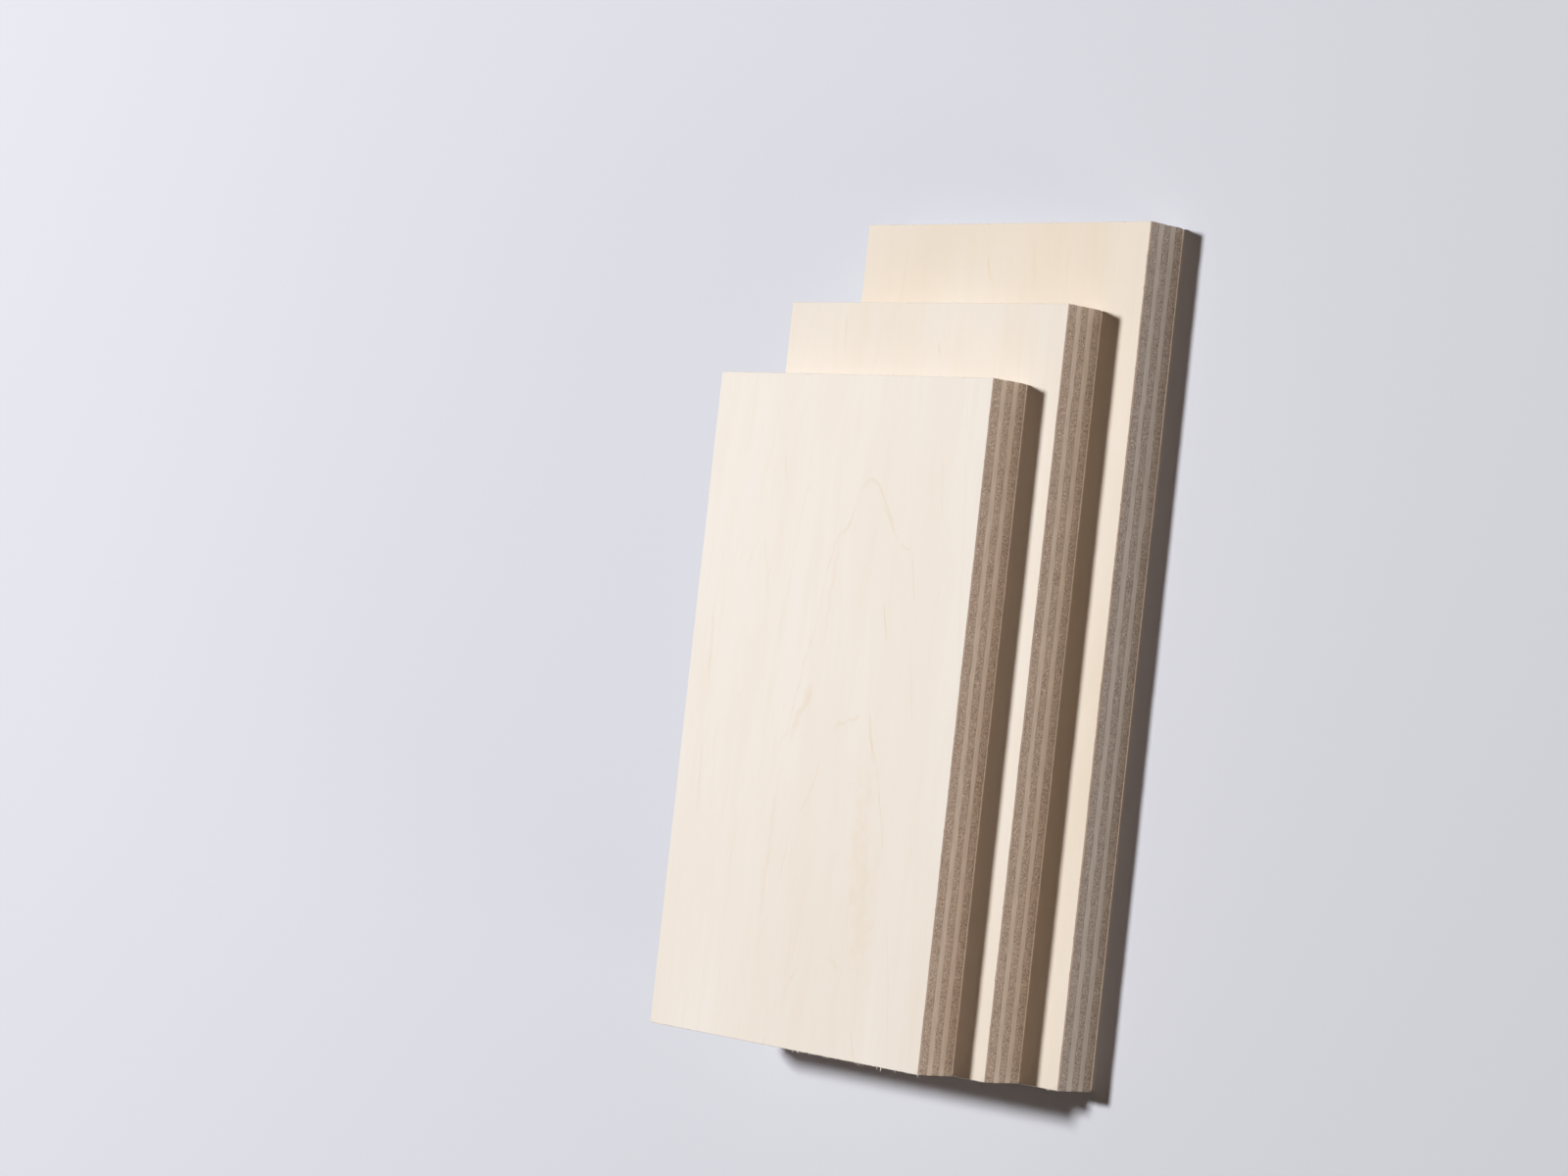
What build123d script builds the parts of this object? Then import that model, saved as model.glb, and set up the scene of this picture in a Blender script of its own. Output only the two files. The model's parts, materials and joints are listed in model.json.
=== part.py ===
"""Three cut pieces of seven-ply plywood, lying flat in a staggered stack.

Each sheet is pressed from veneers whose grain turns by a right angle from one
ply to the next. The grain of the face and back veneers and of the two long
plies runs along Y, the length of the sheet. The grain of the three cross plies
runs along X, so the long side of a sheet shows their end grain.

The largest sheet lies at the bottom and the smallest on top. Their near ends
are flush, their far ends step back with the lengths, and each sheet is set
further to the left than the one below it.

Frame: +Z up and +Y along the sheets. The origin is the middle of the largest
sheet's lower face, on the floor. All sizes are in millimetres.
"""

import os

from build123d import *

# Outline of the sheets
sheet_width = 100.0
small_length = 170.0
middle_length = 190.0
large_length = 212.0

# Thickness of the plies
veneer_thickness = 0.5
cross_ply_thickness = 2.5
long_ply_thickness = 1.85
centre_ply_thickness = 2.3

# How far each sheet is set to the left of the one below it
middle_setback = 13.0
small_setback = 11.0

# The saw leaves crisp edges, but the back breaks out and wears round at the ends
edge_radius = 0.2
worn_end_radius = 1.0

# The lay-up of a sheet, from its back to its face
lay_up = (
    ("back_veneer", veneer_thickness),
    ("lower_cross_ply", cross_ply_thickness),
    ("lower_long_ply", long_ply_thickness),
    ("centre_cross_ply", centre_ply_thickness),
    ("upper_long_ply", long_ply_thickness),
    ("upper_cross_ply", cross_ply_thickness),
    ("face_veneer", veneer_thickness),
)
sheet_thickness = sum(thickness for _, thickness in lay_up)

# The near ends of all the sheets stand in one plane, and the largest is centred
near_end = -large_length / 2
large_right_side = sheet_width / 2
middle_right_side = large_right_side - middle_setback
small_right_side = middle_right_side - small_setback


def sawn_sheet(length, right_side, underside):
    """A whole sheet as it comes from the saw, before it is parted into plies."""
    centre = (right_side - sheet_width / 2, near_end + length / 2)
    with BuildPart() as sheet:
        with BuildSketch(Plane.XY.offset(underside)):
            with Locations(centre):
                Rectangle(sheet_width, length)
        extrude(amount=sheet_thickness)
        back = sheet.faces().sort_by(Axis.Z)[0]
        fillet(back.edges().filter_by(Axis.X), worn_end_radius)
        face = sheet.faces().sort_by(Axis.Z)[-1]
        long_sides = sheet.faces().filter_by(Axis.X)
        crisp = long_sides.edges() + face.edges().filter_by(Axis.X)
        fillet(crisp, edge_radius)
    return sheet.part


def write_plies(sheet_name, length, right_side, underside):
    """Parts a sheet at its glue lines and writes each ply as a piece of its own."""
    whole = sawn_sheet(length, right_side, underside)
    centre = (right_side - sheet_width / 2, near_end + length / 2)
    bottom = underside
    for ply_name, thickness in lay_up:
        with BuildPart() as ply:
            with BuildSketch(Plane.XY.offset(bottom)):
                with Locations(centre):
                    Rectangle(sheet_width, length)
            extrude(amount=thickness)
            add(whole, mode=Mode.INTERSECT)
        ply.part.label = f"{sheet_name}_{ply_name}"
        export_step(ply.part, f"parts/{ply.part.label}.step")
        bottom += thickness


os.makedirs("parts", exist_ok=True)
write_plies("large_sheet", large_length, large_right_side, 0.0)
write_plies("middle_sheet", middle_length, middle_right_side, sheet_thickness)
write_plies("small_sheet", small_length, small_right_side, 2 * sheet_thickness)
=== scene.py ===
"""The visible model of a staggered stack of three small plywood sheets, laid out as an add-on.

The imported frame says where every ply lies. Each ply is modelled again from a whole sheet that
is parted at its glue lines, so the seven plies share the sheet's eased arrises. Then its sawn
edges are roughened along its own grain, and its glue lines are made to waver, alike in the
two plies that meet there. Every ply gets a wood that knows which way its grain runs, so it
looks different on the long sides and at the ends, and loose fibres stand on the arrises.

Frame: +Z up out of the faces, +Y along the sheets, +X across them, in metres. The patterns of
the woods and of the sawn edges are given in millimetres.
"""

import json
import math
from typing import NamedTuple

import bmesh
import bpy
from mathutils import Matrix, Vector

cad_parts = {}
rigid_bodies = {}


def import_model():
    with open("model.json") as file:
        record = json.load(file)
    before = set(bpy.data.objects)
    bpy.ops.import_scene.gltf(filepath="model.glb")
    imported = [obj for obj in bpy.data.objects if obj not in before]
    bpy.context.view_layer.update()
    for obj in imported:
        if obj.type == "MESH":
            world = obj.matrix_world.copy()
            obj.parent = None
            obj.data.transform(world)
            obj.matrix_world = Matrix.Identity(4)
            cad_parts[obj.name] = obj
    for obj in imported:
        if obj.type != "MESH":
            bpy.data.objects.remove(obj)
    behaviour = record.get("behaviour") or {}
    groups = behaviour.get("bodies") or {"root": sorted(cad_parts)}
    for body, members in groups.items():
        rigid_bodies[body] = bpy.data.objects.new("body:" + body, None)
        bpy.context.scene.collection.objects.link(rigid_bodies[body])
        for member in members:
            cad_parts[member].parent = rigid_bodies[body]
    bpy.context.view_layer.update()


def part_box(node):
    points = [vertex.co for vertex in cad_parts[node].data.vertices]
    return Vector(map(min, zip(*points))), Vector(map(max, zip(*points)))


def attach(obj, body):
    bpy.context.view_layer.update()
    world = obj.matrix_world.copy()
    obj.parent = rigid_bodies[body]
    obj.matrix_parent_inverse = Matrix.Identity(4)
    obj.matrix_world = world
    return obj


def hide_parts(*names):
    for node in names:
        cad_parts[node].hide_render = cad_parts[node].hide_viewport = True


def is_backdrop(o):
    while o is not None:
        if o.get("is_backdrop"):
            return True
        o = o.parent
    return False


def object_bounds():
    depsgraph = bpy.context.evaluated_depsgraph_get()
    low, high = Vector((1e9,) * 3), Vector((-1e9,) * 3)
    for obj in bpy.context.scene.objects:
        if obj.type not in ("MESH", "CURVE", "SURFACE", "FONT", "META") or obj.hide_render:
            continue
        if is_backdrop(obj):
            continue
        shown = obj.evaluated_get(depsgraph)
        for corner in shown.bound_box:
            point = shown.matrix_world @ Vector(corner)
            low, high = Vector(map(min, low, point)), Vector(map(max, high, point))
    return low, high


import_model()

bl_info = {
    "name": "Plywood Sheet Stack",
    "version": (1, 0, 0),
    "blender": (4, 5, 0),
    "location": "View3D > Sidebar > Plywood",
    "description": "Models the plies, woods and loose fibres of a stack of plywood sheets",
    "category": "Add Mesh",
}

# The sheets from the bottom up
SHEETS = ("large_sheet", "middle_sheet", "small_sheet")

ALONG_X = 0
ALONG_Y = 1
MILLIMETRES = 1000.0

# Points this near to a plane, in metres, lie on it
TOUCH = 1e-6

# Points this near to a cut, in metres, lie on it
CUT_TOUCH = 1e-7

# Segments round an arris, and the angle between two faces past which an edge stays sharp
CRISP_SEGMENTS = 3
WORN_SEGMENTS = 6
SHARP_ANGLE = math.radians(40)

# The fewest rows of faces on the sawn edges of a ply
FEWEST_ROWS = 2

# The Mix node's sockets for colours, and the Random Value node's sockets for numbers
MIX_FACTOR = 0
MIX_FIRST = 6
MIX_SECOND = 7
MIX_RESULT = 2
RANDOM_SMALLEST = 2
RANDOM_LARGEST = 3
RANDOM_RESULT = 1

# The gloss of bare wood and of the floor
SPECULAR = 0.25

# The lamps: the way to them from the stack, how far off they stand and how wide they are
KEY_DIRECTION = Vector((-0.46, 0.16, 0.88))
KEY_DISTANCE = 2.6
KEY_WIDTH = 0.28
FILL_DIRECTION = Vector((0.95, -0.28, 0.04))
FILL_DISTANCE = 1.6
FILL_WIDTH = 0.45
WHITE = (1.0, 1.0, 1.0)

# The camera, fitted to the photograph's view of the sheets
CAMERA_PLACE = Vector((0.764, -0.021, 0.766))
CAMERA_AIM = Vector((-0.041, 0.009, 0.036))
CAMERA_ROLL = math.radians(6.3)
CAMERA_NEAR_LIMIT = 0.01
SENSOR_WIDTH = 36.0

FLOOR_WIDTH = 12.0


class Mark(NamedTuple):
    """A streak in a face, in millimetres from the near left corner of the sheet."""

    start: tuple
    end: tuple
    half_width: float
    strength: float


class Look(NamedTuple):
    """What sets a sheet apart.

    How much greyer and darker its sawn sides are is its first number, and its patches have one
    strength at the far end and one at the near end. The apex is that of its growth lines, in
    millimetres.
    """

    side_greying: float
    patches_far: float
    patches_near: float
    apex: tuple
    marks: tuple


LOOKS = {
    "small_sheet": Look(
        side_greying=0.0, patches_far=0.10, patches_near=0.28, apex=(62.0, 143.0),
        marks=(
            Mark((65.5, 139.0), (73.5, 127.5), 0.5, 0.24),
            Mark((73.0, 128.0), (78.5, 126.5), 0.5, 0.26),
            Mark((78.0, 127.5), (81.5, 112.0), 0.5, 0.28),
            Mark((69.9, 115.0), (73.0, 102.0), 0.5, 0.40),
            Mark((68.9, 88.0), (72.9, 71.5), 0.5, 0.42),
            Mark((52.0, 137.0), (49.5, 94.0), 0.9, 0.16),
            Mark((49.0, 93.0), (40.0, 75.0), 2.0, 0.26),
            Mark((39.0, 74.0), (37.0, 20.0), 1.0, 0.16),
            Mark((67.5, 84.0), (78.5, 3.0), 4.5, 0.14),
            Mark((28.0, 151.0), (29.8, 140.5), 0.5, 0.20),
            Mark((23.0, 130.5), (28.5, 108.0), 0.5, 0.22),
            Mark((7.0, 112.0), (8.0, 86.0), 0.7, 0.24),
            Mark((8.0, 79.0), (9.5, 50.0), 0.8, 0.20),
        )),
    "middle_sheet": Look(
        side_greying=0.2, patches_far=0.22, patches_near=0.28, apex=(48.0, 140.0),
        marks=(
            Mark((56.0, 181.0), (57.0, 176.0), 0.4, 0.40),
            Mark((21.0, 188.0), (22.5, 173.0), 0.5, 0.20),
        )),
    "large_sheet": Look(
        side_greying=1.0, patches_far=0.50, patches_near=0.50, apex=(30.0, 172.0),
        marks=(
            Mark((45.0, 204.0), (46.5, 197.0), 0.4, 0.50),
            Mark((61.0, 209.0), (62.0, 192.0), 1.2, 0.22),
            Mark((73.0, 208.0), (74.0, 192.0), 0.5, 0.30),
        )),
}


class PLYWOOD_PG_sawing(bpy.types.PropertyGroup):
    """How the sheets are cut and how rough the cuts are."""

    grid_cell: bpy.props.FloatProperty(
        name="Grid cell", description="Spacing of the grid lines on the flat faces",
        default=0.004, min=0.001, unit="LENGTH", precision=4)
    edge_cuts: bpy.props.IntProperty(
        name="Edge cuts", description="Cuts along one grid cell on the sawn edges",
        default=12, min=1)
    row_height: bpy.props.FloatProperty(
        name="Row height", description="Height of one row of faces on a sawn edge",
        default=0.0003, min=0.0001, unit="LENGTH", precision=5)
    arris: bpy.props.FloatProperty(
        name="Arris", description="Radius of the crisp arrises",
        default=0.0002, unit="LENGTH", precision=5)
    worn_arris: bpy.props.FloatProperty(
        name="Worn arris", description="Radius where the back breaks out at the two ends",
        default=0.001, unit="LENGTH", precision=5)
    roughness: bpy.props.FloatProperty(
        name="Saw roughness", description="Depth of the hollows that the saw tore in the edges",
        default=0.00012, unit="LENGTH", precision=5)
    chipping: bpy.props.FloatProperty(
        name="Chipping", description="Depth of the nicks along the arrises",
        default=0.0002, unit="LENGTH", precision=5)
    waver: bpy.props.FloatProperty(
        name="Glue line waver", description="The most that a glue line strays up or down",
        default=0.0003, unit="LENGTH", precision=5)


class PLYWOOD_PG_fibres(bpy.types.PropertyGroup):
    """The loose fibres on the arrises."""

    length: bpy.props.FloatProperty(
        name="Fibre length", description="Length of a fibre before it is drawn longer or shorter",
        default=0.0007, unit="LENGTH", precision=5)
    radius: bpy.props.FloatProperty(
        name="Fibre radius", description="Radius of a fibre at its root",
        default=0.00008, unit="LENGTH", precision=6)
    spacing: bpy.props.FloatProperty(
        name="Spacing", description="Distance between the places for a fibre along an arris",
        default=0.0005, min=0.0002, unit="LENGTH", precision=5)
    frayed_share: bpy.props.FloatProperty(
        name="Share where frayed",
        description="Share of a tuft's places that hold a fibre, at the ends and along the back",
        default=0.80, min=0.0, max=1.0, subtype="FACTOR")
    crisp_share: bpy.props.FloatProperty(
        name="Share where crisp",
        description="Share of a tuft's places that hold a fibre, along the sides of the face",
        default=0.08, min=0.0, max=1.0, subtype="FACTOR")


class PLYWOOD_PG_woods(bpy.types.PropertyGroup):
    """The colours of the woods."""

    small_face: bpy.props.FloatVectorProperty(
        name="Small face", description="Face of the small sheet",
        default=(0.919, 0.859, 0.792), min=0.0, max=1.0, subtype="COLOR")
    middle_face: bpy.props.FloatVectorProperty(
        name="Middle face", description="Face of the middle sheet",
        default=(0.880, 0.812, 0.730), min=0.0, max=1.0, subtype="COLOR")
    large_face: bpy.props.FloatVectorProperty(
        name="Large face", description="Face of the large sheet",
        default=(0.835, 0.728, 0.605), min=0.0, max=1.0, subtype="COLOR")
    side_grain: bpy.props.FloatVectorProperty(
        name="Side grain", description="Plies sawn along their grain",
        default=(0.76, 0.655, 0.545), min=0.0, max=1.0, subtype="COLOR")
    end_grain: bpy.props.FloatVectorProperty(
        name="End grain", description="Plies sawn across their grain",
        default=(0.56, 0.45, 0.36), min=0.0, max=1.0, subtype="COLOR")
    greyer_sides: bpy.props.FloatVectorProperty(
        name="Greyer sides", description="Tint of the sawn sides that are greyer than the others",
        default=(0.75, 0.80, 0.85), min=0.0, max=1.0, subtype="COLOR")
    veneer_side: bpy.props.FloatVectorProperty(
        name="Veneer side", description="Sawn side of the face veneer",
        default=(0.54, 0.37, 0.27), min=0.0, max=1.0, subtype="COLOR")
    glue_line: bpy.props.FloatVectorProperty(
        name="Glue line", description="The thin line of glue between two plies",
        default=(0.36, 0.25, 0.185), min=0.0, max=1.0, subtype="COLOR")
    streak: bpy.props.FloatVectorProperty(
        name="Streak", description="Yellow streaks and growth lines in the faces",
        default=(0.77, 0.615, 0.39), min=0.0, max=1.0, subtype="COLOR")
    # Also the colour of the painted glints on the end grain
    fibre: bpy.props.FloatVectorProperty(
        name="Fibre", description="Loose fibres on the arrises",
        default=(0.93, 0.88, 0.80), min=0.0, max=1.0, subtype="COLOR")


class PLYWOOD_PG_studio(bpy.types.PropertyGroup):
    """The floor, the lamps and the camera."""

    floor: bpy.props.FloatVectorProperty(
        name="Floor", description="Colour of the floor",
        default=(0.725, 0.74, 0.81), min=0.0, max=1.0, subtype="COLOR")
    key: bpy.props.FloatProperty(
        name="Key light", description="Power of the high lamp on the left",
        default=67.7, unit="POWER")
    fill: bpy.props.FloatProperty(
        name="Fill light", description="Power of the low lamp on the right",
        default=11.9, unit="POWER")
    fill_tint: bpy.props.FloatVectorProperty(
        name="Fill tint", description="Colour of the low lamp on the right",
        default=(1.0, 0.86, 0.75), min=0.0, max=1.0, subtype="COLOR")
    shadow_tint: bpy.props.FloatVectorProperty(
        name="Shadow tint", description="Colour of the even light from all round",
        default=(1.0, 0.66, 0.45), min=0.0, max=1.0, subtype="COLOR")
    surroundings: bpy.props.FloatProperty(
        name="Surroundings", description="Strength of the even light from all round",
        default=0.035, min=0.0)
    lens: bpy.props.FloatProperty(
        name="Lens", description="Focal length of the camera in millimetres",
        default=98.2, min=1.0)


GROUPS = {
    "plywood_sawing": PLYWOOD_PG_sawing,
    "plywood_fibres": PLYWOOD_PG_fibres,
    "plywood_woods": PLYWOOD_PG_woods,
    "plywood_studio": PLYWOOD_PG_studio,
}


class Socket:
    """A node's output, on which Python's arithmetic adds Math nodes."""

    def __init__(self, nodes, socket):
        self.nodes = nodes
        self.socket = socket

    def out(self, name):
        """Another output of the same node."""
        return Socket(self.nodes, self.socket.node.outputs[name])

    def __add__(self, other):
        return self.nodes.math("ADD", self, other)

    def __sub__(self, other):
        return self.nodes.math("SUBTRACT", self, other)

    def __rsub__(self, other):
        return self.nodes.math("SUBTRACT", other, self)

    def __mul__(self, other):
        return self.nodes.math("MULTIPLY", self, other)

    def __truediv__(self, other):
        return self.nodes.math("DIVIDE", self, other)

    def __rtruediv__(self, other):
        return self.nodes.math("DIVIDE", other, self)

    def __abs__(self):
        return self.nodes.math("ABSOLUTE", self)

    __radd__ = __add__
    __rmul__ = __mul__


class Nodes:
    """Writes the nodes of one tree, of a material or of a shape."""

    def __init__(self, tree):
        self.tree = tree
        tree.nodes.clear()

    def add(self, kind, settings=None, inputs=None, output=0):
        """Adds a node: its settings first, then the values or links of its inputs."""
        node = self.tree.nodes.new(kind)
        for name, value in (settings or {}).items():
            setattr(node, name, value)
        for name, value in (inputs or {}).items():
            if isinstance(value, Socket):
                self.tree.links.new(value.socket, node.inputs[name])
            else:
                node.inputs[name].default_value = value
        return Socket(self, node.outputs[output]) if node.outputs else None

    def math(self, operation, *values):
        return self.add("ShaderNodeMath", {"operation": operation}, dict(enumerate(values)))

    def vector(self, operation, *values):
        return self.add("ShaderNodeVectorMath", {"operation": operation},
                        dict(enumerate(values)))

    def millimetres(self, place):
        """A place that was in metres, in millimetres."""
        return self.vector("MULTIPLY", place, (MILLIMETRES,) * 3)

    def smooth(self, value, start, end):
        """0 at start and 1 at end, with a soft run between them."""
        return self.add("ShaderNodeMapRange", {"interpolation_type": "SMOOTHSTEP"},
                        {"Value": value, "From Min": start, "From Max": end})

    def between(self, value, first, last):
        """Goes from the first number to the last one as a value goes from 0 to 1."""
        return value * (last - first) + first

    def join(self, x, y, z):
        return self.add("ShaderNodeCombineXYZ", inputs={"X": x, "Y": y, "Z": z})

    def split(self, vector):
        """The X, Y and Z of a vector."""
        x = self.add("ShaderNodeSeparateXYZ", inputs={"Vector": vector}, output="X")
        return x, x.out("Y"), x.out("Z")

    def mix(self, factor, first, second, blend="MIX"):
        """Goes from the first colour to the second one."""
        first, second = [c if isinstance(c, Socket) else (*c, 1.0) for c in (first, second)]
        return self.add("ShaderNodeMix", {"data_type": "RGBA", "blend_type": blend},
                        {MIX_FACTOR: factor, MIX_FIRST: first, MIX_SECOND: second},
                        MIX_RESULT)

    def cover(self, shade, colour, mask, strength):
        """Lays a colour over a shade where a mask is 1."""
        return self.mix(mask * strength, shade, colour)

    def layer(self, shade, colour, pattern, start, end, strength):
        """Lays a colour over a shade, from where a pattern is at start to where it is at end."""
        return self.cover(shade, colour, self.smooth(pattern, start, end), strength)

    def noise(self, place, sizes, detail=2.0, rough=0.5, shift=0.0):
        """Noise from 0 to 1 whose blotches have these sizes, in the unit of the place."""
        scaled = self.vector("MULTIPLY_ADD", place, [1.0 / size for size in sizes],
                             (shift,) * 3)
        return self.add("ShaderNodeTexNoise", {"noise_dimensions": "3D"},
                        {"Vector": scaled, "Scale": 1.0, "Detail": detail, "Roughness": rough},
                        "Fac")

    def swing(self, place, sizes, detail):
        """Noise from -0.5 to 0.5."""
        return self.noise(place, sizes, detail) - 0.5

    def cells(self, place):
        """The distance to the middle of the nearest of many cells that are about 1 wide."""
        return self.add("ShaderNodeTexVoronoi", {"feature": "F1"},
                        {"Vector": place, "Scale": 1.0}, "Distance")


def along(axis, length, across):
    """Sizes of a pattern that is drawn out along one axis."""
    return [length if number == axis else across for number in range(3)]


# Places and sizes from the frame

def sheet_box(sheet):
    """Lowest and highest corner of a whole sheet."""
    low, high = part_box(f"{sheet}_centre_cross_ply")
    low.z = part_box(f"{sheet}_back_veneer")[0].z
    high.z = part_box(f"{sheet}_face_veneer")[1].z
    return low, high


# Modelling by hand

def deselect_all():
    for item in bpy.context.view_layer.objects:
        item.select_set(False)


def select_edges(piece, test):
    """Selects the edges of the piece for which the test on their two ends holds."""
    bpy.ops.mesh.select_mode(type="EDGE")
    bpy.ops.mesh.select_all(action="DESELECT")
    mesh = bmesh.from_edit_mesh(piece.data)
    for edge in mesh.edges:
        if test(edge.verts[0].co, edge.verts[1].co):
            edge.select_set(True)
    bmesh.update_edit_mesh(piece.data)


def part_off(height, keep_above):
    """Cuts the mesh in edit mode at a height, closes the cut and keeps one side."""
    bpy.ops.mesh.select_all(action="SELECT")
    bpy.ops.mesh.bisect(
        plane_co=(0, 0, height), plane_no=(0, 0, 1), use_fill=True,
        clear_inner=keep_above, clear_outer=not keep_above, threshold=CUT_TOUCH)


def whole_sheet(sheet, name):
    """Adds a whole sheet in edit mode: a grid drawn up to its thickness, with eased arrises."""
    sawing = bpy.context.scene.plywood_sawing
    low, high = sheet_box(sheet)
    size = high - low
    middle = (low + high) / 2
    deselect_all()
    bpy.ops.mesh.primitive_grid_add(
        x_subdivisions=round(size.x / sawing.grid_cell),
        y_subdivisions=round(size.y / sawing.grid_cell), size=1, location=(0, 0, 0))
    piece = bpy.context.object
    piece.name = name
    bpy.ops.object.mode_set(mode="EDIT")
    bpy.ops.transform.resize(value=(size.x, size.y, 1))
    bpy.ops.transform.translate(value=(middle.x, middle.y, low.z))
    bpy.ops.mesh.extrude_region_move(TRANSFORM_OT_translate={"value": (0, 0, size.z)})
    bpy.ops.mesh.select_all(action="SELECT")
    bpy.ops.mesh.normals_make_consistent(inside=False)

    def on_end(a, b):
        return all(min(p.y - low.y, high.y - p.y) < TOUCH for p in (a, b))

    def on_side(a, b):
        return all(min(p.x - low.x, high.x - p.x) < TOUCH for p in (a, b))

    def at_back(a, b):
        return a.z - low.z < TOUCH and b.z - low.z < TOUCH

    def at_face(a, b):
        return high.z - a.z < TOUCH and high.z - b.z < TOUCH

    select_edges(piece, lambda a, b: on_end(a, b) and at_back(a, b))
    bpy.ops.mesh.bevel(offset=sawing.worn_arris, segments=WORN_SEGMENTS, affect="EDGES")
    select_edges(piece, lambda a, b: on_side(a, b) and (at_back(a, b) or at_face(a, b))
                 or on_end(a, b) and at_face(a, b))
    bpy.ops.mesh.bevel(offset=sawing.arris, segments=CRISP_SEGMENTS, affect="EDGES")

    # A little further in than the worn arris
    inside_worn = sawing.worn_arris * 1.05

    def runs_round(a, b):
        """Edges that run along a sawn side, on the side itself or on its arrises."""
        level = abs(a.z - b.z) < TOUCH
        beside = all(min(p.x - low.x, high.x - p.x) < sawing.arris + TOUCH for p in (a, b))
        before = all(min(p.y - low.y, high.y - p.y) < inside_worn for p in (a, b))
        lengthwise = beside and abs(a.y - b.y) > inside_worn
        crosswise = before and abs(a.x - b.x) > inside_worn
        return level and (lengthwise or crosswise)

    select_edges(piece, runs_round)
    bpy.ops.mesh.subdivide(number_cuts=sawing.edge_cuts)
    return piece


def shape_nodes(name):
    """A node tree for a shape, with the geometry that goes in."""
    tree = bpy.data.node_groups.new(name, "GeometryNodeTree")
    for direction in ("INPUT", "OUTPUT"):
        tree.interface.new_socket(
            name="Geometry", in_out=direction, socket_type="NodeSocketGeometry")
    nodes = Nodes(tree)
    return nodes, nodes.add("NodeGroupInput")


def apply_shape(piece, nodes, geometry):
    """Ends the node tree and applies it to the piece as a modifier."""
    nodes.add("NodeGroupOutput", inputs={"Geometry": geometry})
    modifier = piece.modifiers.new(nodes.tree.name, "NODES")
    modifier.node_group = nodes.tree
    bpy.ops.object.modifier_apply(modifier=modifier.name)
    bpy.data.node_groups.remove(nodes.tree)


def at_sides(nodes, place, low, high, reach):
    """1 on the left, right, near and far side of a sheet, and 0 past a reach from each."""
    x, y = nodes.split(place)[:2]
    distances = (x - low.x, high.x - x, y - low.y, high.y - y)
    return [nodes.smooth(distance, start=reach, end=0.0) for distance in distances]


def roughen(piece, sheet, node, grain):
    """Leaves the saw's roughness on the edges of a ply and lets its glue lines waver."""
    sawing = bpy.context.scene.plywood_sawing
    low, high = [corner * MILLIMETRES for corner in sheet_box(sheet)]
    bottom, top = [corner.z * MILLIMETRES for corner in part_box(node)]
    nodes, geometry = shape_nodes("Saw cut")
    place = nodes.millimetres(nodes.add("GeometryNodeInputPosition"))
    z = nodes.split(place)[2]
    left, right, near, far = at_sides(nodes, place, low, high, reach=0.3)
    from_faces = nodes.math("MINIMUM", z - low.z, high.z - z)

    # Hollows follow the grain, and nicks sit on the arrises
    torn = nodes.noise(place, along(grain, length=9.0, across=0.9), detail=3.0, shift=bottom)
    hollow = nodes.smooth(torn, start=0.35, end=0.75) * sawing.roughness
    chipped = nodes.noise(place, sizes=(1.1, 1.1, 4.0), shift=top)
    on_arris = nodes.smooth(from_faces, start=0.6, end=0.0)
    nick = nodes.smooth(chipped, start=0.58, end=0.78) * on_arris * sawing.chipping
    depth = hollow + nick

    # A glue line strays by the waver at most, up or down, and the faces stay flat
    stray = nodes.swing(place, sizes=(26.0, 26.0, 1.7), detail=1.0)
    within = nodes.smooth(from_faces, start=0.0, end=3.0)
    lowest_to_highest = 2 * sawing.waver
    lift = stray * within * lowest_to_highest
    offset = nodes.join((left - right) * depth, (near - far) * depth, lift)

    # The wood reads how far it is from a glue line
    glue = nodes.math("MINIMUM", z - bottom, top - z)
    marked = nodes.add("GeometryNodeStoreNamedAttribute",
                       {"data_type": "FLOAT", "domain": "POINT"},
                       {"Geometry": geometry, "Name": "from_glue", "Value": glue})
    moved = nodes.add("GeometryNodeSetPosition",
                      inputs={"Geometry": marked, "Offset": offset})
    apply_shape(piece, nodes, moved)


def saw_ply(sheet, ply, grain, material):
    """Models one ply of a sheet and puts it in the place of its node."""
    sawing = bpy.context.scene.plywood_sawing
    node = f"{sheet}_{ply}"
    low, high = sheet_box(sheet)
    bottom, top = [corner.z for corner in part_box(node)]
    piece = whole_sheet(sheet, name=f"sawn_{node}")
    if bottom > low.z + TOUCH:
        part_off(bottom, keep_above=True)
    if top < high.z - TOUCH:
        part_off(top, keep_above=False)
    rows = max(FEWEST_ROWS, round((top - bottom) / sawing.row_height))
    half_way = (top - bottom) / 2
    select_edges(piece, lambda a, b: abs(a.z - b.z) > half_way)
    bpy.ops.mesh.subdivide(number_cuts=rows - 1)
    bpy.ops.mesh.select_all(action="SELECT")
    bpy.ops.mesh.remove_doubles(threshold=TOUCH)
    bpy.ops.mesh.dissolve_degenerate(threshold=TOUCH)
    bpy.ops.object.mode_set(mode="OBJECT")
    roughen(piece, sheet, node, grain)
    bpy.ops.object.shade_smooth_by_angle(angle=SHARP_ANGLE)
    flatten = piece.modifiers.new("Flat faces", "WEIGHTED_NORMAL")
    flatten.keep_sharp = True
    bpy.ops.object.modifier_apply(modifier=flatten.name)
    piece.data.materials.append(material)
    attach(piece, "root")
    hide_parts(node)


# Woods

def new_material(name):
    """A material and the writer of its nodes."""
    material = bpy.data.materials.new(name)
    material.use_nodes = True
    return material, Nodes(material.node_tree)


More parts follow.
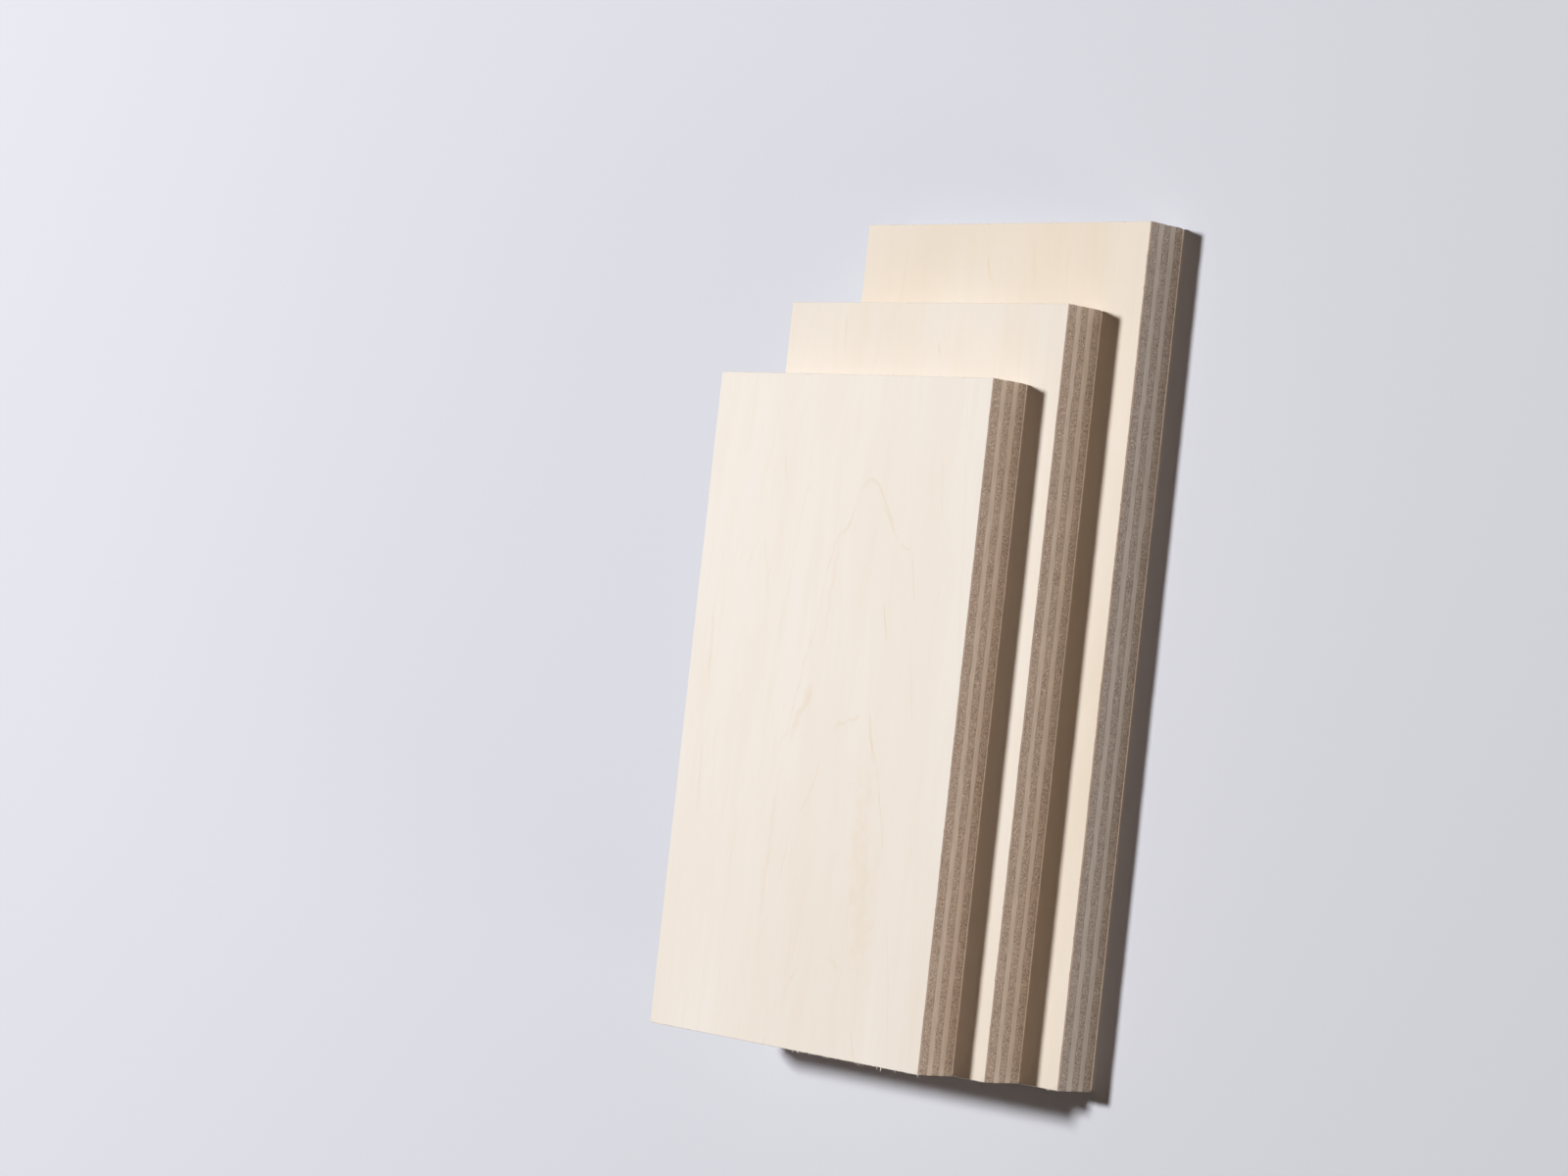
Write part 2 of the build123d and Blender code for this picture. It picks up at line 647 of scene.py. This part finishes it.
def finish(nodes, colour, roughness, relief=None, depth=0.0):
    """Ends a material with its shader. The depth is that of the relief, in metres."""
    inputs = {"Base Color": colour, "Roughness": roughness, "Specular IOR Level": SPECULAR}
    if relief is not None:
        inputs["Normal"] = nodes.add(
            "ShaderNodeBump", inputs={"Distance": depth, "Height": relief}, output="Normal")
    shader = nodes.add("ShaderNodeBsdfPrincipled", inputs=inputs)
    nodes.add("ShaderNodeOutputMaterial", inputs={"Surface": shader})


def object_place(nodes):
    """The place of a point in metres, which stays with the piece when it moves."""
    return nodes.add("ShaderNodeTexCoord", output="Object")


def place_on_sheet(nodes, sheet):
    """The place in millimetres from the near left corner of the sheet's back."""
    low = sheet_box(sheet)[0]
    return nodes.vector("MULTIPLY_ADD", object_place(nodes), (MILLIMETRES,) * 3,
                        low * -MILLIMETRES)


def facing(nodes, axis):
    """How far the surface faces along an axis, from 0 to 1."""
    normal = nodes.add("ShaderNodeTexCoord", output="Normal")
    return abs(nodes.split(normal)[axis])


def growth_lines(nodes, place, apex):
    """The arched growth lines round an apex of the face, all in millimetres."""
    spacing = 58.0
    line_width = 2.2
    crisp_edge = 0.15
    arch_width = 3.0
    lines_below = 40.0
    wander_reach = 22.0
    wander_aside = 0.25
    apex_x, apex_y = apex
    x, y = nodes.split(place)[:2]
    wander = nodes.swing(place, sizes=(11.0, 30.0, 50.0), detail=3.0) * wander_reach
    across = (x - apex_x + wander * wander_aside) / arch_width
    level = apex_y - y - across * across + wander + spacing * lines_below
    above = nodes.math("MODULO", level, spacing)
    line = nodes.smooth(above, start=line_width, end=0.0)
    line = line * nodes.smooth(above, start=0.0, end=crisp_edge)
    broken = nodes.noise(place, sizes=(7.0, 16.0, 50.0), detail=2.0, shift=7.0)
    return line * nodes.smooth(broken, start=0.42, end=0.62)


def streak(nodes, place, wobble, mark):
    """A short streak in the wood. The wobble, from -0.5 to 0.5, bends it to and fro."""
    bend = 2.5
    full_after = 0.3
    fades_after = 0.6
    start_x, start_y = mark.start
    run = Vector(mark.end) - Vector(mark.start)
    lengthwise = run.normalized()
    sideways = Vector((-lengthwise.y, lengthwise.x))
    x, y = nodes.split(place)[:2]
    forward = (x - start_x) * lengthwise.x + (y - start_y) * lengthwise.y
    aside = (x - start_x) * sideways.x + (y - start_y) * sideways.y
    drift = wobble * mark.half_width * bend
    body = nodes.smooth(abs(aside + drift), start=mark.half_width, end=0.0)
    grows = nodes.smooth(forward, start=0.0, end=run.length * full_after)
    fades = nodes.smooth(forward, start=run.length, end=run.length * fades_after)
    return body * grows * fades


def veneer_wood(sheet, colour, patch_colour):
    """The pale wood of a sheet's face and back, with its figure and its marks."""
    woods = bpy.context.scene.plywood_woods
    look = LOOKS[sheet]
    material, nodes = new_material(f"{sheet}_veneer_wood")
    place = place_on_sheet(nodes, sheet)
    x, y, z = nodes.split(place)

    # The grain swings to and fro across this width
    bend_width = 9.0
    bend = nodes.swing(place, sizes=(30.0, 90.0, 50.0), detail=1.0) * bend_width
    bent = nodes.join(x + bend, y, z)

    # Patches, broad and narrow bands and single fibres, all drawn out along the grain
    patches = nodes.noise(bent, sizes=(38.0, 90.0, 50.0), detail=2.0, shift=29.0)
    broad = nodes.noise(bent, sizes=(13.0, 150.0, 50.0), detail=2.0, shift=3.0)
    narrow = nodes.noise(bent, sizes=(3.2, 34.0, 4.0), detail=3.0, rough=0.6, shift=11.0)
    fine = nodes.noise(bent, sizes=(0.55, 7.0, 0.55), detail=3.0, rough=0.6, shift=17.0)
    short = nodes.noise(bent, sizes=(0.55, 7.5, 0.55), detail=1.0, shift=23.0)
    near_end = nodes.smooth(y, start=170.0, end=0.0)
    patchiness = nodes.between(near_end, first=look.patches_far, last=look.patches_near)
    shade = nodes.layer(colour, patch_colour, patches, start=0.30, end=0.70,
                        strength=patchiness)
    shade = nodes.layer(shade, woods.streak, broad, start=0.30, end=0.75, strength=0.09)
    shade = nodes.layer(shade, woods.streak, narrow, start=0.42, end=0.80, strength=0.11)
    shade = nodes.layer(shade, woods.side_grain, fine, start=0.35, end=0.80, strength=0.035)
    shade = nodes.layer(shade, woods.streak, short, start=0.66, end=0.80, strength=0.12)

    # Growth lines, the sheet's own marks and a few pin knots
    figure = growth_lines(nodes, bent, look.apex)
    shade = nodes.cover(shade, woods.streak, figure, strength=0.34)
    wobble = nodes.swing(place, sizes=(3.0, 4.0, 50.0), detail=1.0)
    for mark in look.marks:
        body = streak(nodes, place, wobble, mark)
        shade = nodes.cover(shade, woods.streak, body, mark.strength)
    knots_per_millimetre = (0.045, 0.035, 0.0)
    pin_knots = nodes.cells(nodes.vector("MULTIPLY", place, knots_per_millimetre))
    shade = nodes.layer(shade, woods.glue_line, pin_knots, start=0.012, end=0.005,
                        strength=0.55)

    # The face veneer is darker along its sawn sides, and both veneers are at the ends
    across = facing(nodes, ALONG_X)
    endways = facing(nodes, ALONG_Y)
    under_face = nodes.smooth(z, start=4.0, end=8.0)
    side = nodes.smooth(across, start=0.5, end=0.9) * under_face
    shade = nodes.cover(shade, woods.veneer_side, side, strength=0.60)
    shade = nodes.layer(shade, woods.side_grain, endways, start=0.5, end=0.9, strength=0.75)

    # Fibres frayed by the saw are pale where the ends round over
    frayed = nodes.smooth(endways, start=0.10, end=0.50)
    frayed = frayed * nodes.smooth(endways, start=0.99, end=0.93)
    shade = nodes.cover(shade, woods.fibre, frayed, strength=0.80)

    # The single fibres stand out most, and the narrow bands less
    band_height = 0.5
    dullness = nodes.smooth(fine, start=0.0, end=1.0)
    finish(nodes, shade, roughness=nodes.between(dullness, first=0.52, last=0.64),
           relief=fine + narrow * band_height, depth=0.00002)
    return material


def core_wood(sheet, name, grain):
    """The wood of the inner plies: end grain where it is sawn across, else side grain."""
    woods = bpy.context.scene.plywood_woods
    material, nodes = new_material(f"{sheet}_{name}_wood")
    place = place_on_sheet(nodes, sheet)

    # Sawn along its grain the wood is streaked and banded
    streaks = nodes.noise(place, along(grain, length=9.0, across=0.28),
                          detail=3.0, rough=0.6, shift=5.0)
    bands = nodes.noise(place, along(grain, length=5.0, across=0.9), detail=3.0, shift=9.0)
    lengthwise = nodes.layer(woods.side_grain, woods.end_grain, streaks,
                             start=0.35, end=0.75, strength=0.30)
    lengthwise = nodes.layer(lengthwise, woods.end_grain, bands,
                             start=0.40, end=0.62, strength=0.30)

    # Sawn across its grain it is speckled dark and light, and patchy
    darkest = 0.62
    lightest = 1.34
    speckle = nodes.noise(place, along(grain, length=3.0, across=0.46),
                          detail=4.0, rough=0.72, shift=2.0)
    patches = nodes.noise(place, along(grain, length=6.0, across=2.6), detail=2.0, shift=4.0)
    dark = [channel * darkest for channel in woods.end_grain]
    light = [channel * lightest for channel in woods.end_grain]
    crosswise = nodes.mix(nodes.smooth(speckle, start=0.32, end=0.66), light, dark)
    crosswise = nodes.layer(crosswise, woods.side_grain, patches,
                            start=0.35, end=0.75, strength=0.25)

    # Torn fibre tips there are pale and catch the light: ragged pale dots in some of many cells,
    # partly their own colour and partly a painted glint
    raggedness = 0.30
    dots = nodes.cells(nodes.vector("DIVIDE", place, along(grain, length=4.0, across=1.0)))
    chance = nodes.split(dots.out("Color"))[0]
    painted_glint = nodes.smooth(dots + speckle * raggedness, start=0.36, end=0.24)
    painted_glint = painted_glint * nodes.smooth(chance, start=0.40, end=0.80)
    crosswise = nodes.cover(crosswise, woods.fibre, painted_glint, strength=0.85)
    end = nodes.smooth(facing(nodes, grain), start=0.45, end=0.80)
    shade = nodes.mix(end, lengthwise, crosswise)

    # The glue line shows in places
    glue = nodes.add("ShaderNodeAttribute", {"attribute_name": "from_glue"}, output="Fac")
    patchy = nodes.noise(place, sizes=(5.0, 5.0, 5.0), detail=2.0, shift=13.0)
    line = nodes.smooth(glue, start=0.16, end=0.02)
    line = line * nodes.smooth(patchy, start=0.25, end=0.60)
    shade = nodes.cover(shade, woods.glue_line, line, strength=0.55)
    # The sawn sides of some sheets are greyer and darker
    shade = nodes.mix(LOOKS[sheet].side_greying, shade, woods.greyer_sides, "MULTIPLY")

    # The dark specks of the end grain are hollows, and the streaks stand out a little
    streak_height = 0.3
    finish(nodes, shade, roughness=nodes.between(end, first=0.65, last=0.80),
           relief=streaks * streak_height - end * speckle, depth=0.00014)
    return material


def fibre_wood():
    """The pale wood of the loose fibres."""
    woods = bpy.context.scene.plywood_woods
    material, nodes = new_material("fibre_wood")
    place = nodes.millimetres(object_place(nodes))
    tone = nodes.noise(place, sizes=(1.5, 1.5, 1.5), detail=1.0)
    shade = nodes.layer(woods.fibre, woods.side_grain, tone, start=0.3, end=0.7, strength=0.5)
    finish(nodes, shade, roughness=nodes.between(tone, first=0.5, last=0.7),
           relief=tone, depth=0.00001)
    return material


# Loose fibres

def single_fibre(material):
    """Models one fibre at the origin, a tapering and slightly curled hair along +Z."""
    fibres = bpy.context.scene.plywood_fibres
    joints = 4
    curl = 0.10
    taper = 0.72
    upward = 0.9
    step = fibres.length / joints
    deselect_all()
    bpy.ops.mesh.primitive_cylinder_add(
        vertices=4, radius=fibres.radius, depth=step, location=(0, 0, 0))
    piece = bpy.context.object
    piece.name = "single_fibre"
    bpy.ops.object.mode_set(mode="EDIT")
    bpy.ops.transform.translate(value=(0, 0, step / 2))
    bpy.ops.mesh.select_mode(type="FACE")
    bpy.ops.mesh.select_all(action="DESELECT")
    mesh = bmesh.from_edit_mesh(piece.data)
    for face in mesh.faces:
        face.select_set(face.normal.z > upward)
    bmesh.update_edit_mesh(piece.data)
    for number in range(1, joints):
        bpy.ops.mesh.extrude_region_move(
            TRANSFORM_OT_translate={"value": (step * curl * number, 0, step)})
        bpy.ops.transform.resize(value=(taper, taper, taper))
    bpy.ops.object.mode_set(mode="OBJECT")
    piece.data.materials.append(material)
    return piece


def fibre_bed(sheet):
    """Adds the arrises of a sheet as two closed lines of edges."""
    low, high = sheet_box(sheet)
    deselect_all()
    bpy.ops.mesh.primitive_cube_add(size=1, location=(0, 0, 0))
    piece = bpy.context.object
    piece.name = f"{sheet}_loose_fibres"
    bpy.ops.object.mode_set(mode="EDIT")
    bpy.ops.transform.resize(value=high - low)
    bpy.ops.transform.translate(value=(low + high) / 2)
    bpy.ops.mesh.delete(type="ONLY_FACE")
    select_edges(piece, lambda a, b: abs(a.z - b.z) > TOUCH)
    bpy.ops.mesh.delete(type="EDGE")
    bpy.ops.object.mode_set(mode="OBJECT")
    return piece


def grow_fibres(sheet, material, seed):
    """Stands fibres on the arrises of a sheet, in tufts, each turned its own way."""
    fibres = bpy.context.scene.plywood_fibres
    template = single_fibre(material)
    piece = fibre_bed(sheet)
    low, high = [corner * MILLIMETRES for corner in sheet_box(sheet)]
    nodes, bed = shape_nodes("Loose fibres")
    arrises = nodes.add("GeometryNodeMeshToCurve", inputs={"Mesh": bed})
    places = nodes.add("GeometryNodeCurveToPoints", {"mode": "LENGTH"},
                       {"Curve": arrises, "Length": fibres.spacing}, "Points")
    place = nodes.millimetres(nodes.add("GeometryNodeInputPosition"))

    def chance(draw, smallest=0.0, largest=1.0):
        """A number drawn for each point."""
        return nodes.add("FunctionNodeRandomValue", {"data_type": "FLOAT"},
                         {RANDOM_SMALLEST: smallest, RANDOM_LARGEST: largest,
                          "Seed": seed + draw}, RANDOM_RESULT)

    def either_way(draw, reach):
        """A number drawn for each point, up to a reach either way."""
        return chance(draw, -reach, reach)

    # Tufts are thick at the ends and along the back, and thin along the sides of the face
    left, right, near, far = at_sides(nodes, place, low, high, reach=0.2)
    upper = nodes.smooth(nodes.split(place)[2], start=low.z, end=high.z)
    clumps = nodes.noise(place, sizes=(3.0, 3.0, 3.0), detail=2.0)
    tuft = nodes.smooth(clumps, start=0.30, end=0.65)
    frayed = nodes.math("MAXIMUM", nodes.math("MAXIMUM", far, near), 1.0 - upper)
    share = nodes.between(frayed, first=fibres.crisp_share, last=fibres.frayed_share)
    chosen = nodes.math("LESS_THAN", chance(1), tuft * share)

    # At the ends the fibres point out along the grain, on the sides they lean along it, and
    # along the back of a side they are slivers that peel off the sawn edge
    sideways = right - left
    endways = far - near
    along_side = 1.0 - far - near
    peeling = along_side * (1.0 - upper)

    # A sliver strays less aside than a fibre, and leans and rises more, and all of them turn
    # a little towards the middle of the sheet's thickness
    less_stray = 0.75
    more_lean = 0.6
    more_rise = 0.25
    towards_middle = 0.3
    side_stray = either_way(2, reach=0.8) * (1.0 - peeling * less_stray)
    lean = either_way(3, reach=1.4)
    lean = lean + nodes.math("SIGN", lean) * peeling * more_lean
    end_stray = either_way(4, reach=0.3)
    rise = (0.5 - upper) * towards_middle + peeling * more_rise + either_way(5, reach=0.12)
    outward = nodes.join(sideways + side_stray, endways + lean * along_side + end_stray, rise)

    # A fibre's flat side faces up, and a sliver's faces outwards as well
    more_tilt = 0.8
    tilt = sideways * peeling * more_tilt + either_way(6, reach=0.1)
    upright = nodes.join(tilt, either_way(7, reach=0.1), 1.0)
    flat = nodes.add("FunctionNodeAlignRotationToVector", {"axis": "Y"}, {"Vector": upright})
    turned = nodes.add("FunctionNodeAlignRotationToVector", {"axis": "Z", "pivot_axis": "Y"},
                       {"Rotation": flat, "Vector": outward})

    # Most fibres are tiny and a few are long, and all are flatter than they are wide
    flatness = 0.4
    thicker_ends = 0.8
    thicker_slivers = 0.5
    shortest = 0.12
    longer_slivers = 0.20
    longer_by_chance = 1.35
    rareness = 6.0
    thicker = (far + near) * thicker_ends + peeling * thicker_slivers + 1.0
    thick = chance(8, smallest=0.5, largest=1.3) * thicker
    longer = nodes.math("POWER", chance(9), rareness) * longer_by_chance
    stretch = longer + peeling * longer_slivers + shortest
    size = nodes.join(thick, thick * flatness, stretch)
    hair = nodes.add("GeometryNodeObjectInfo", inputs={"Object": template}, output="Geometry")
    standing = nodes.add("GeometryNodeInstanceOnPoints", inputs={
        "Points": places, "Selection": chosen, "Instance": hair, "Rotation": turned,
        "Scale": size})

    # Their roots are sunk into the wood, by these depths in metres
    side_depth = 0.0001
    face_depth = 0.0002
    sunk = nodes.join(sideways * -side_depth, endways * -side_depth,
                      (0.5 - upper) * (2 * face_depth) + peeling * side_depth)
    seated = nodes.add("GeometryNodeTranslateInstances", inputs={
        "Instances": standing, "Translation": sunk, "Local Space": False})
    real = nodes.add("GeometryNodeRealizeInstances", inputs={"Geometry": seated})
    deselect_all()
    bpy.context.view_layer.objects.active = piece
    piece.select_set(True)
    apply_shape(piece, nodes, real)
    bpy.data.objects.remove(template)
    return piece


# Stage

def lay_floor(colour):
    """A wide flat floor in a paint that is a little darker in places."""
    darkest = 0.97
    deselect_all()
    bpy.ops.mesh.primitive_plane_add(size=FLOOR_WIDTH, location=(0, 0, 0))
    floor = bpy.context.object
    floor.name = "floor"
    material, nodes = new_material("floor_paint")
    cloud = nodes.noise(object_place(nodes), sizes=(0.4, 0.4, 0.4), detail=2.0)
    darker = [channel * darkest for channel in colour]
    finish(nodes, nodes.mix(cloud, colour, darker), roughness=0.7)
    floor.data.materials.append(material)
    floor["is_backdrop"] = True


def aim_lamp(name, direction, distance, width, power, colour):
    """A square soft box that shines on the stack from a direction."""
    deselect_all()
    middle = sum(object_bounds(), Vector()) / 2
    away = direction.normalized()
    bpy.ops.object.light_add(type="AREA", location=middle + away * distance)
    lamp = bpy.context.object
    lamp.name = name
    lamp.rotation_euler = away.to_track_quat("Z", "Y").to_euler()
    lamp.data.size = width
    lamp.data.energy = power
    lamp.data.color = colour


def light_all_round(colour, strength):
    """The even light that comes from all round."""
    world = bpy.data.worlds.new("surroundings")
    world.use_nodes = True
    nodes = Nodes(world.node_tree)
    light = nodes.add("ShaderNodeBackground", inputs={
        "Color": (*colour, 1.0), "Strength": strength})
    nodes.add("ShaderNodeOutputWorld", inputs={"Surface": light})
    bpy.context.scene.world = world


def aim_camera(lens):
    """The camera looks down on the stack and is rolled, so that the sheets point up."""
    forward = (CAMERA_AIM - CAMERA_PLACE).normalized()
    right = forward.cross(Vector((0, 1, 0))).normalized()
    upward = right.cross(forward)
    deselect_all()
    bpy.ops.object.camera_add(location=CAMERA_PLACE)
    camera = bpy.context.object
    camera.name = "camera"
    level = Matrix((right, upward, -forward)).transposed()
    camera.rotation_euler = (level @ Matrix.Rotation(CAMERA_ROLL, 3, "Z")).to_euler()
    camera.data.lens = lens
    camera.data.sensor_width = SENSOR_WIDTH
    camera.data.clip_start = CAMERA_NEAR_LIMIT
    bpy.context.scene.camera = camera


# Operators, one for each kind of piece and one for the stage

class PLYWOOD_OT_veneers(bpy.types.Operator):
    """Models the face and back veneers of the three sheets"""

    bl_idname = "plywood.veneers"
    bl_label = "Veneers"
    bl_options = {"REGISTER", "UNDO"}

    def execute(self, context):
        woods = context.scene.plywood_woods
        colours = {
            "small_sheet": (woods.small_face, woods.large_face),
            "middle_sheet": (woods.middle_face, woods.large_face),
            "large_sheet": (woods.large_face, woods.small_face),
        }
        for sheet, (colour, patch_colour) in colours.items():
            wood = veneer_wood(sheet, colour, patch_colour)
            for ply in ("back_veneer", "face_veneer"):
                saw_ply(sheet, ply, ALONG_Y, wood)
        return {"FINISHED"}


class PLYWOOD_OT_cross_plies(bpy.types.Operator):
    """Models the plies whose grain runs across the sheets"""

    bl_idname = "plywood.cross_plies"
    bl_label = "Cross plies"
    bl_options = {"REGISTER", "UNDO"}

    def execute(self, context):
        for sheet in SHEETS:
            wood = core_wood(sheet, "cross", ALONG_X)
            for ply in ("lower_cross_ply", "centre_cross_ply", "upper_cross_ply"):
                saw_ply(sheet, ply, ALONG_X, wood)
        return {"FINISHED"}


class PLYWOOD_OT_long_plies(bpy.types.Operator):
    """Models the inner plies whose grain runs along the sheets"""

    bl_idname = "plywood.long_plies"
    bl_label = "Long plies"
    bl_options = {"REGISTER", "UNDO"}

    def execute(self, context):
        for sheet in SHEETS:
            wood = core_wood(sheet, "long", ALONG_Y)
            for ply in ("lower_long_ply", "upper_long_ply"):
                saw_ply(sheet, ply, ALONG_Y, wood)
        return {"FINISHED"}


class PLYWOOD_OT_loose_fibres(bpy.types.Operator):
    """Stands loose fibres on the arrises of the three sheets"""

    bl_idname = "plywood.loose_fibres"
    bl_label = "Loose fibres"
    bl_options = {"REGISTER", "UNDO"}

    def execute(self, context):
        wood = fibre_wood()
        draws_per_sheet = 100
        for number, sheet in enumerate(SHEETS):
            piece = grow_fibres(sheet, wood, seed=draws_per_sheet * number)
            if not piece.data.polygons:
                raise RuntimeError(f"no fibre stands on the {sheet}")
            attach(piece, "root")
        return {"FINISHED"}


class PLYWOOD_OT_stage(bpy.types.Operator):
    """Lays the floor, sets the lamps and aims the camera"""

    bl_idname = "plywood.stage"
    bl_label = "Stage"
    bl_options = {"REGISTER", "UNDO"}

    def execute(self, context):
        studio = context.scene.plywood_studio
        lay_floor(studio.floor)
        aim_lamp("key_light", KEY_DIRECTION, KEY_DISTANCE, KEY_WIDTH, studio.key, WHITE)
        aim_lamp("fill_light", FILL_DIRECTION, FILL_DISTANCE, FILL_WIDTH, studio.fill,
                 studio.fill_tint)
        light_all_round(studio.shadow_tint, studio.surroundings)
        aim_camera(studio.lens)
        context.scene.view_settings.view_transform = "Standard"
        return {"FINISHED"}


OPERATORS = (
    PLYWOOD_OT_veneers,
    PLYWOOD_OT_cross_plies,
    PLYWOOD_OT_long_plies,
    PLYWOOD_OT_loose_fibres,
    PLYWOOD_OT_stage,
)


class PLYWOOD_PT_stack(bpy.types.Panel):
    """The steps of the stack, in order"""

    bl_idname = "PLYWOOD_PT_stack"
    bl_label = "Plywood Stack"
    bl_space_type = "VIEW_3D"
    bl_region_type = "UI"
    bl_category = "Plywood"

    def draw(self, context):
        for operator in OPERATORS:
            self.layout.operator(operator.bl_idname)
        for name, group in GROUPS.items():
            settings = getattr(context.scene, name)
            for setting in group.__annotations__:
                self.layout.prop(settings, setting)


def register():
    for group in GROUPS.values():
        bpy.utils.register_class(group)
    for name, group in GROUPS.items():
        setattr(bpy.types.Scene, name, bpy.props.PointerProperty(type=group))
    for operator in OPERATORS:
        bpy.utils.register_class(operator)
    bpy.utils.register_class(PLYWOOD_PT_stack)


def unregister():
    bpy.utils.unregister_class(PLYWOOD_PT_stack)
    for operator in reversed(OPERATORS):
        bpy.utils.unregister_class(operator)
    for name in GROUPS:
        delattr(bpy.types.Scene, name)
    for group in GROUPS.values():
        bpy.utils.unregister_class(group)


def main():
    register()
    bpy.ops.plywood.veneers()
    bpy.ops.plywood.cross_plies()
    bpy.ops.plywood.long_plies()
    bpy.ops.plywood.loose_fibres()
    bpy.ops.plywood.stage()


if __name__ == "__main__":
    main()
